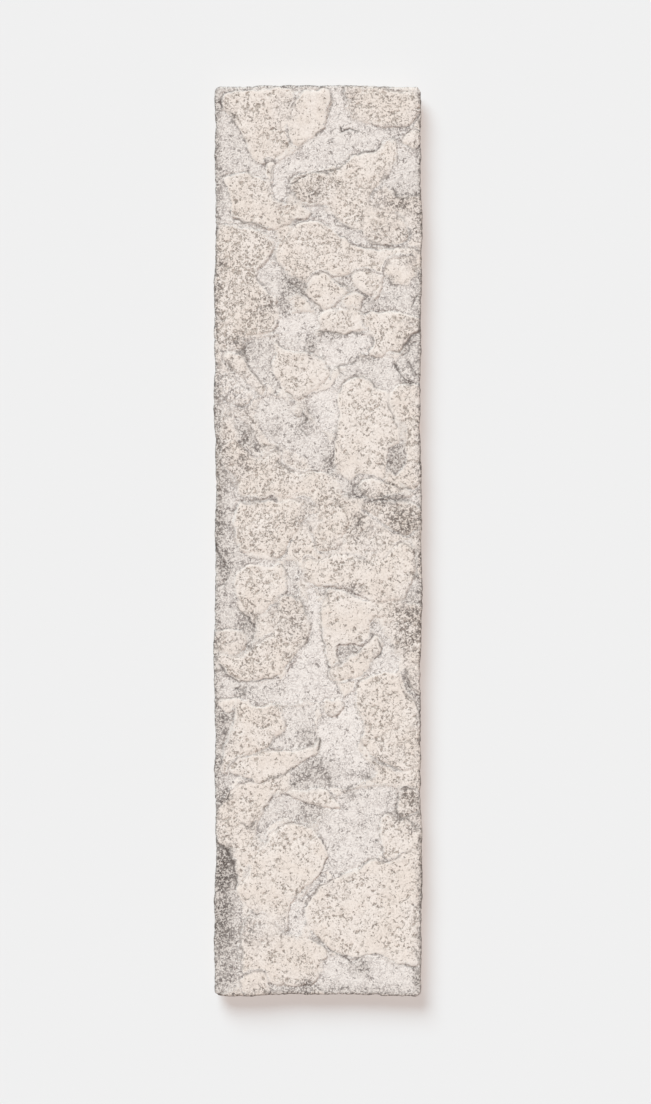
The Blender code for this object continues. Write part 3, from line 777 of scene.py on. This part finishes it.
# How far a ragged pattern is bent, in metres, and how much each noise counts
BEND_REACH = 0.0080
TORN_WEIGHT = 0.7
UNEVEN_WEIGHT = 0.7
CRUMBLE_WEIGHT = 2.2
LEAST_CRUMBLE = 0.4
PATCH_WEIGHT = 2.4

# Pits: the size of a cell, the share of cells with a pit, and its least and greatest radius in cells
LARGE_PITS = (0.0105, 0.80, 0.14, 0.33)
MIDDLE_PITS = (0.0052, 0.85, 0.16, 0.36)

# Where each ramp starts and ends, in the values that it reads
PIT_WALL = (-0.04, 0.06)
CRUMBLY = (0.42, 0.62)
CREAM_EDGE = (-0.08, 0.08)
INNER_EDGE = (0.26, 0.52)
STIPPLE = (0.46, 0.54)
WARM = (0.35, 0.65)
MOTTLED = (0.57, 0.66)
SMALL_PITS = (0.65, 0.70)
PORES = (0.61, 0.67)
PORES_BY_PITS = (0.0, 1.4)
DEEP = (0.46, 0.64)
# The band beside the plates, partly grit and partly painted shade, and the patches that break it
BESIDE_PLATES = (-0.60, 0.0)
BESIDE_PATCHES = (0.30, 0.55)
DOTS = (0.66, 0.76)
WASHED = (0.30, 0.52)
STAINED = (0.30, 0.55)
BROKEN_SEAMS = (0.38, 0.58)
BROKEN_CRACKS = (0.25, 0.42)


def flat_place(nodes, position):
    """The place that the patterns read. It takes no notice of the relief on the face."""
    shallow = nodes.most(nodes.part(position, "Y"), CAD_LOW.y + 2 * RELIEF_REACH)
    parts = {"X": nodes.part(position, "X"), "Y": shallow, "Z": nodes.part(position, "Z")}
    return nodes.value(0, "ShaderNodeCombineXYZ", parts)


def pit_layer(nodes, place, pitted, kind):
    """1 inside scattered ragged pits and 0 outside."""
    size, share, least, greatest = kind
    cells = nodes.node("ShaderNodeTexVoronoi", {"Vector": place, "Scale": 1 / size})
    distance = Value(nodes, cells.outputs["Distance"])
    random = Value(nodes, cells.outputs["Color"])
    radius = nodes.part(random, "Y") * (greatest - least) + least
    shown = nodes.math("LESS_THAN", nodes.part(random, "X"), pitted * share)
    return nodes.ramp(radius * shown - distance, *PIT_WALL)


def surface_patterns(nodes, position, skin, pitted):
    """The patterns that both the relief and the colours use: cream cover, pits and grit."""
    place = flat_place(nodes, position)
    bend = nodes.noise(place, BEND_SIZE, 1.0, output="Color")
    bend = nodes.vector("SUBTRACT", bend, (0.5, 0.5, 0.5))
    ragged = nodes.vector("ADD", place, nodes.scaled(bend, BEND_REACH))
    grain = nodes.noise(place, GRAIN_SIZE, 1.0)
    torn = nodes.noise(place, TORN_SIZE, 3.0, 0.65) - 0.5
    uneven = nodes.noise(place, UNEVEN_SIZE, 2.0) - 0.5
    cover = TORN_WEIGHT * torn + skin + UNEVEN_WEIGHT * uneven
    crumbly = nodes.ramp(nodes.noise(place, CRUMBLE_SIZE, 2.0), *CRUMBLY)
    crumble = (grain - 0.5) * (CRUMBLE_WEIGHT * crumbly + LEAST_CRUMBLE)
    inner = nodes.ramp(cover, *INNER_EDGE)
    pitted = pitted + PATCH_WEIGHT * (nodes.noise(place, PATCH_SIZE, 2.0) - 0.5)
    large = pit_layer(nodes, ragged, pitted, LARGE_PITS)
    middling = pit_layer(nodes, ragged, pitted, MIDDLE_PITS)
    return SimpleNamespace(
        place=place,
        ragged=ragged,
        grain=grain,
        cover=cover,
        cream=nodes.ramp(cover + crumble, *CREAM_EDGE),
        inner=inner,
        pitted=pitted,
        pit=nodes.most(large, middling) * inner,
        grit=nodes.noise(place, GRIT_SIZE, 3.0, 0.6),
    )


def relief_modifier(piece):
    """Raises the grit and sinks the pits of the dense mesh, by the patterns that the material uses."""
    tree = bpy.data.node_groups.new("fine_relief", "GeometryNodeTree")
    for way in ("INPUT", "OUTPUT"):
        tree.interface.new_socket("Geometry", in_out=way, socket_type="NodeSocketGeometry")
    nodes = Nodes(tree)

    def field(name):
        return nodes.value(0, "GeometryNodeInputNamedAttribute", {"Name": name}, data_type="FLOAT")

    position = nodes.value(0, "GeometryNodeInputPosition")
    clay = surface_patterns(nodes, position, field("skin"), field("pitted"))
    pits = -PIT_DEPTH * (clay.pit * clay.cream)
    grit_share = (1 - clay.cream) * (1 - GRIT_ON_SKIN) + GRIT_ON_SKIN
    grit = 2 * GRIT_HEIGHT * (clay.grit - 0.5) * grit_share
    offset = nodes.scaled(nodes.value(0, "GeometryNodeInputNormal"), pits + grit)
    moved = {"Geometry": nodes.value(0, "NodeGroupInput"), "Offset": offset}
    nodes.node("NodeGroupOutput", {0: nodes.value(0, "GeometryNodeSetPosition", moved)})
    piece.modifiers.new("fine relief", "NODES").node_group = tree


def vertices_of(mesh):
    flat = np.empty(len(mesh.vertices) * 3, np.float32)
    mesh.vertices.foreach_get("co", flat)
    return flat.reshape(-1, 3).astype(float)


def colour_fields(mesh):
    """Stores the patterns that the material reads on the mesh's points."""
    points = vertices_of(mesh)
    fields = read_surface(points[:, 0], points[:, 2])
    on_face = np.clip(COLOUR_DEPTH - (points[:, 1] - FACE_Y) / FRONT_EDGE_RADIUS, 0, 1)
    fields["skin"] = fields["skin"] * on_face + BARE_SKIN * (1 - on_face)
    fields["face"] = on_face
    del fields["height"]
    for name, values in fields.items():
        if name in mesh.attributes:
            mesh.attributes.remove(mesh.attributes[name])
        attribute = mesh.attributes.new(name, "FLOAT", "POINT")
        attribute.data.foreach_set("value", values.astype(np.float32))


def thinned(full):
    """The mesh with its fine relief, thinned to its limit of triangles."""
    dense = bpy.data.objects.new("dense", full)
    bpy.context.scene.collection.objects.link(dense)
    relief_modifier(dense)
    triangles = len(full.loops) - 2 * len(full.polygons)
    dense.modifiers.new("thinning", "DECIMATE").ratio = MOST_TRIANGLES / triangles
    graph = bpy.context.evaluated_depsgraph_get()
    mesh = bpy.data.meshes.new_from_object(dense.evaluated_get(graph))
    bpy.data.objects.remove(dense)
    return mesh


def build_panel(material):
    """The panel's fine mesh, kept within the solid's box."""
    points, quads, cap = dense_slab()
    full = bpy.data.meshes.new("dense")
    full.from_pydata(points.tolist(), [], quads.tolist() + [cap.tolist()])
    full.shade_smooth()
    colour_fields(full)
    mesh = thinned(full)
    mesh.name = "ceramic_panel"
    kept = np.clip(vertices_of(mesh), np.array(CAD_LOW), np.array(CAD_HIGH))
    mesh.vertices.foreach_set("co", kept.astype(np.float32).ravel())
    colour_fields(mesh)
    mesh.materials.clear()
    mesh.materials.append(material)
    mesh.shade_smooth()
    made = bpy.data.objects.new("ceramic_panel", mesh)
    bpy.context.scene.collection.objects.link(made)
    return made


# How bright a pure white surface facing the camera is in the photograph's light
FULL_WHITE = 1.09


def seen(red, green, blue):
    """The surface colour that looks like this colour of the photograph, given 0 to 255."""
    made = []
    for value in (red, green, blue):
        value = value / 255
        linear = value / 12.92 if value <= 0.04045 else ((value + 0.055) / 1.055) ** 2.4
        made.append(linear / FULL_WHITE)
    return (*made, 1.0)


CREAM = seen(245, 235, 227)
CREAM_WARM = seen(241, 229, 219)
RIM_CREAM = seen(243, 234, 226)
MOTTLE = seen(212, 200, 190)
PIT = seen(192, 180, 169)
PIT_DEEP = seen(138, 126, 117)
GROUND = seen(236, 228, 221)
GROUND_PALE = seen(246, 238, 232)
GROUND_GRIMY = seen(206, 197, 190)
SPECK = seen(160, 149, 145)
SPECK_DARK = seen(106, 97, 92)
SPECK_RUST = seen(128, 113, 101)
DOT = seen(122, 112, 108)
DOT_DARK = seen(90, 83, 78)
LINE = seen(88, 79, 74)
SIDE_PALE = seen(217, 208, 200)
SIDE_DARK = seen(161, 152, 144)

# How much of each layer of colour shows, where it shows fully
MOTTLE_SHARE = 0.34
STIPPLE_SHARE = 0.36
PIT_SHARE = 0.85
PIT_HIDDEN_BY_VEIL = 0.45
RIM_SHARE = 0.5
GRIME_SHARE = 0.85
DOT_SHARE = 0.70
WASH_SHARE = 0.85
SEAM_SHARE = 0.5
# Darkening along the panel's edges, grime and painted shade together
BORDER_GRIME_AND_SHADE = 0.95

# How densely the bare ground is speckled, and what adds to it or takes from it
SPECKS = 0.66
SPECKS_LOST_IN_PALE = 0.28
# The specks beside the plates are partly grit and partly painted shade along the plates' edges
SPECKS_AND_SHADE_BESIDE_PLATES = 0.45
SPECKS_IN_GRIME = 0.58
SPECKS_IN_PATCHES = 1.7
FEWEST_SPECKS = 0.05
VEIL_PALENESS = 0.8

# How much pits, specks and stains add to the noise behind a pattern
PITS_TO_SMALL = 0.06
PITS_TO_MOTTLE = 0.08
STAINS_TO_PITS = 0.5
SPECKS_TO_DOTS = 0.12
PATCHES_TO_DEEP = 0.8
STAINS_TO_DEEP = 0.15

# What shows all over, and what the stipple adds to it
FINE_SPECKS = (0.04, 0.70)
STAINED_SKIN = (0.2, 0.65)

# The dry surface: the least roughness and what the grain adds, the shine, and the bumps
ROUGHNESS = (0.72, 0.2)
SHINE = 0.3
BUMP_DISTANCE = 0.0007
GRAIN_ON_SKIN = 0.2
GRAIN_ON_GROUND = 0.8
PIT_BUMP = 0.6


def clay_patterns(nodes, field):
    """Every pattern that the clay's colours and bump share."""
    position = nodes.value("Object", "ShaderNodeTexCoord")
    clay = surface_patterns(nodes, position, field("skin"), field("pitted"))
    # The dark patches are stains, and along the bottom edge also painted shade
    dark_patches = field("dark")
    # Along the edges the dark pattern is grime and painted shade together, and every grime colour below
    # carries it
    clay.dark = nodes.most(dark_patches, BORDER_GRIME_AND_SHADE * field("border"))
    clay.veil = field("veil")
    clay.pitted = clay.pitted + STAINS_TO_PITS * dark_patches
    clay.broad = nodes.noise(clay.place, BROAD_SIZE, 3.0)
    clay.middle = nodes.noise(clay.place, MIDDLE_SIZE, 3.0, 0.6)
    clay.marks = nodes.noise(clay.ragged, MARK_SIZE, 1.0)
    clay.stipple = nodes.ramp(clay.grain, *STIPPLE)
    small = nodes.ramp(clay.marks + PITS_TO_SMALL * clay.pitted, *SMALL_PITS) * clay.inner
    pores = nodes.ramp(clay.grain, *PORES) * nodes.ramp(clay.pitted, *PORES_BY_PITS)
    clay.pit = nodes.most(nodes.most(clay.pit, small), pores)
    rusty = nodes.blend(field("rust"), SPECK_DARK, SPECK_RUST)
    clay.speck_colour = nodes.blend(clay.dark, SPECK, rusty)
    clay.dot_colour = nodes.blend(clay.dark, DOT, DOT_DARK)
    return clay


def skin_colour(nodes, clay):
    """The plates' skin: a soft mottle, fine grain, pits and pores, and a clean rim."""
    skin = nodes.blend(nodes.ramp(clay.broad, *WARM), CREAM, CREAM_WARM)
    mottle = nodes.noise(clay.ragged, MOTTLE_SIZE, 4.0, 0.7) + PITS_TO_MOTTLE * clay.pitted
    mottle = nodes.ramp(mottle, *MOTTLED) * clay.inner
    skin = nodes.blend(MOTTLE_SHARE * mottle + STIPPLE_SHARE * clay.stipple, skin, MOTTLE)
    deep = clay.grain + PATCHES_TO_DEEP * (clay.middle - 0.5) + STAINS_TO_DEEP * clay.dark
    pit_colour = nodes.blend(nodes.ramp(deep, *DEEP), PIT, PIT_DEEP)
    skin = nodes.blend(clay.pit * (PIT_SHARE - PIT_HIDDEN_BY_VEIL * clay.veil), skin, pit_colour)
    return nodes.blend(RIM_SHARE * (1 - clay.inner), skin, RIM_CREAM)


def ground_colour(nodes, clay, pale):
    """The bare ground, speckled most beside the plates, where the specks are partly painted shade, and in
    the stains, and its dots.
    """
    pale = nodes.most(pale, VEIL_PALENESS * clay.veil)
    ground = nodes.blend(pale, GROUND, GROUND_PALE)
    # Grimy where stained, and along the edges, where this grime also paints shade
    ground = nodes.blend(GRIME_SHARE * clay.dark, ground, GROUND_GRIMY)
    # Beside the plates the ground takes more specks: partly grit, partly painted shade from the plates'
    # edges
    grit_and_shade_beside = nodes.ramp(clay.cover, *BESIDE_PLATES) * nodes.ramp(clay.broad, *BESIDE_PATCHES)
    amount = SPECKS - SPECKS_LOST_IN_PALE * pale + SPECKS_AND_SHADE_BESIDE_PLATES * grit_and_shade_beside
    amount = amount + SPECKS_IN_GRIME * clay.dark + SPECKS_IN_PATCHES * (clay.middle - 0.5)
    amount = nodes.most(amount, FEWEST_SPECKS)
    least, more = FINE_SPECKS
    fine = nodes.math("MULTIPLY", more * clay.stipple + least, amount, clamp=True)
    ground = nodes.blend(fine, ground, clay.speck_colour)
    dots = DOT_SHARE * nodes.ramp(clay.marks + SPECKS_TO_DOTS * amount, *DOTS)
    return nodes.blend(dots, ground, clay.dot_colour), dots


def face_colour(nodes, clay, field):
    """Skin over ground, with a pale wash over some of the skin, stains and painted shade along the edges,
    crevices and cracks.
    """
    ground, dots = ground_colour(nodes, clay, field("pale"))
    wash = clay.veil * nodes.ramp(clay.grit, *WASHED)
    skin = nodes.blend(WASH_SHARE * wash, skin_colour(nodes, clay), ground)
    # The stains on the skin also carry the painted shade along the edges
    stain_and_edge_shade = clay.dark * nodes.ramp(clay.middle, *STAINED)
    least, more = STAINED_SKIN
    skin = nodes.blend((more * clay.stipple + least) * stain_and_edge_shade, skin, clay.speck_colour)
    skin = nodes.blend(dots * stain_and_edge_shade, skin, clay.dot_colour)
    seams = SEAM_SHARE * field("crevice") * nodes.ramp(clay.middle, *BROKEN_SEAMS)
    cracks = field("crack") * nodes.ramp(clay.marks, *BROKEN_CRACKS)
    return nodes.blend(nodes.most(seams, cracks), nodes.blend(clay.cream, ground, skin), LINE)


def fired_clay():
    """Cream slip over gritty pale clay, dry and matt, with stains in the hollows. The sides and back are
    the bare clay."""
    material = bpy.data.materials.new("fired_clay")
    material.use_nodes = True
    nodes = Nodes(material.node_tree)
    shader = material.node_tree.nodes["Principled BSDF"]

    def field(name):
        return nodes.value("Fac", "ShaderNodeAttribute", attribute_name=name)

    clay = clay_patterns(nodes, field)
    bare = nodes.blend(clay.stipple, SIDE_PALE, SIDE_DARK)
    colour = nodes.blend(field("face"), bare, face_colour(nodes, clay, field))
    nodes.join(colour, shader.inputs["Base Color"])
    least, more = ROUGHNESS
    nodes.join(more * clay.grain + least, shader.inputs["Roughness"])
    shader.inputs["Specular IOR Level"].default_value = SHINE
    grains = clay.grain * (GRAIN_ON_GROUND * (1 - clay.cream) + GRAIN_ON_SKIN)
    height = grains - PIT_BUMP * (clay.pit * clay.cream)
    bump = {"Strength": 1.0, "Distance": BUMP_DISTANCE, "Height": height}
    nodes.join(nodes.value("Normal", "ShaderNodeBump", bump), shader.inputs["Normal"])
    return material


# The photograph's frame and the panel's place in it, in pixels
PHOTO_WIDE = 651
PHOTO_TALL = 1104
PANEL_TALL_PX = 914
PANEL_CENTRE_PX = (318, 540.5)
LENS = 85
SENSOR = 36


def place_camera():
    """Straight in front, with the panel as large and as far off centre as in the photograph."""
    pixel = HEIGHT / PANEL_TALL_PX
    distance = pixel * PHOTO_TALL * LENS / SENSOR
    camera = bpy.data.objects.new("camera", bpy.data.cameras.new("camera"))
    camera.data.lens = LENS
    camera.data.sensor_width = SENSOR
    camera.location = (
        CENTRE_X + pixel * (PHOTO_WIDE / 2 - PANEL_CENTRE_PX[0]),
        CAD_LOW.y - distance,
        CENTRE_Z - pixel * (PHOTO_TALL / 2 - PANEL_CENTRE_PX[1]),
    )
    camera.rotation_euler = (math.radians(90), 0, 0)
    bpy.context.scene.collection.objects.link(camera)
    bpy.context.scene.camera = camera


EYE_HEIGHT = 1.5
WALL_REACH = 6
WALL_COLOUR = (0.80, 0.80, 0.80, 1.0)
FLOOR_COLOUR = (0.94, 0.84, 0.79, 1.0)
# Behind the panel only the cool soft box reaches the wall, and warmer paint makes up for it
BEHIND_COLOUR = (0.88, 0.80, 0.77, 1.0)
BEHIND_INSET = 0.003


def plain(name, colour):
    """A plain matt paint that shows from the front only."""
    material = bpy.data.materials.new(name)
    material.use_nodes = True
    nodes = Nodes(material.node_tree)
    shader = material.node_tree.nodes["Principled BSDF"]
    shader.inputs["Base Color"].default_value = colour
    shader.inputs["Roughness"].default_value = 0.9
    shader.inputs["Specular IOR Level"].default_value = 0.0
    behind = nodes.value("Backfacing", "ShaderNodeNewGeometry")
    clear = nodes.value(0, "ShaderNodeBsdfTransparent")
    parts = {"Fac": behind, 1: Value(nodes, shader.outputs[0]), 2: clear}
    output = material.node_tree.nodes["Material Output"]
    nodes.join(nodes.value(0, "ShaderNodeMixShader", parts), output.inputs["Surface"])
    return material


def pale_wall():
    """A plain wall and floor, seen from the front only, so that the panel's back can be looked at."""
    floor = CENTRE_Z - EYE_HEIGHT
    columns = (-WALL_REACH, CAD_LOW.x + BEHIND_INSET, CAD_HIGH.x - BEHIND_INSET, WALL_REACH)
    rows = (floor, CAD_LOW.z + BEHIND_INSET, CAD_HIGH.z - BEHIND_INSET, WALL_REACH)
    corners = [(x, 0, z) for z in rows for x in columns]
    wide = len(columns)
    starts = [wide * row + column for row in range(len(rows) - 1) for column in range(wide - 1)]
    faces = [(first, first + 1, first + wide + 1, first + wide) for first in starts]
    middle = len(faces) // 2
    near = len(corners)
    corners += [(WALL_REACH, -WALL_REACH, floor), (-WALL_REACH, -WALL_REACH, floor)]
    faces.append((0, near + 1, near, wide - 1))
    mesh = bpy.data.meshes.new("wall")
    mesh.from_pydata(corners, [], faces)
    mesh.materials.append(plain("wall", WALL_COLOUR))
    mesh.materials.append(plain("behind_panel", BEHIND_COLOUR))
    mesh.materials.append(plain("floor", FLOOR_COLOUR))
    mesh.polygons[middle].material_index = 1
    mesh.polygons[-1].material_index = 2
    wall = bpy.data.objects.new("wall", mesh)
    wall.visible_shadow = False
    wall.visible_diffuse = False
    bpy.context.scene.collection.objects.link(wall)


# The light on the wall, in shares of its whole: from the soft box, from in front and from all round
BOX_SHARE = 0.38
FRONT_SHARE = 0.44
ROUND_SHARE = 0.18
BOX_COLOUR = (0.84, 1.035, 1.12)
FRONT_COLOUR = (1.138, 0.970, 0.896)
BOX_WAY = Vector((0.56, 1, -1.16))
FRONT_WAY = Vector((0, 1, 0))
BOX_ANGLE = math.radians(34)
FRONT_ANGLE = math.radians(3)
# A light from behind that reaches the floor and the panel's back, but neither its face nor the wall
BACK_SHARE = 0.38
BACK_COLOUR = (1.06, 0.99, 0.95)
BACK_WAY = Vector((-0.45, -1, -0.4))
BACK_ANGLE = math.radians(40)
BACKGROUND_SEEN = 0.87


def add_sun(name, share, colour, way, angle):
    """A broad light that travels that way. It adds this share of the wall's light to a face square to Y."""
    lamp = bpy.data.lights.new(name, "SUN")
    lamp.energy = share * FULL_WHITE * math.pi * way.length / abs(way.y)
    lamp.angle = angle
    lamp.color = colour
    sun = bpy.data.objects.new(name, lamp)
    sun.rotation_euler = way.to_track_quat("-Z", "Y").to_euler()
    bpy.context.scene.collection.objects.link(sun)


def studio_light():
    """A soft box at the upper left, a light from in front, one from behind and a little from all round."""
    add_sun("softbox", BOX_SHARE, BOX_COLOUR, BOX_WAY, BOX_ANGLE)
    add_sun("front_fill", FRONT_SHARE, FRONT_COLOUR, FRONT_WAY, FRONT_ANGLE)
    add_sun("back_fill", BACK_SHARE, BACK_COLOUR, BACK_WAY, BACK_ANGLE)
    world = bpy.data.worlds.new("studio")
    world.use_nodes = True
    nodes = Nodes(world.node_tree)
    glow = world.node_tree.nodes["Background"]
    lit = ROUND_SHARE * FULL_WHITE
    seen_ray = nodes.value("Is Camera Ray", "ShaderNodeLightPath")
    nodes.join((BACKGROUND_SEEN - lit) * seen_ray + lit, glow.inputs["Strength"])
    glow.inputs["Color"].default_value = (1, 1, 1, 1)
    bpy.context.scene.world = world
    bpy.context.scene.view_settings.view_transform = "Standard"


place_camera()
studio_light()
pale_wall()
panel = build_panel(fired_clay())
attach(panel, "root")
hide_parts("panel")
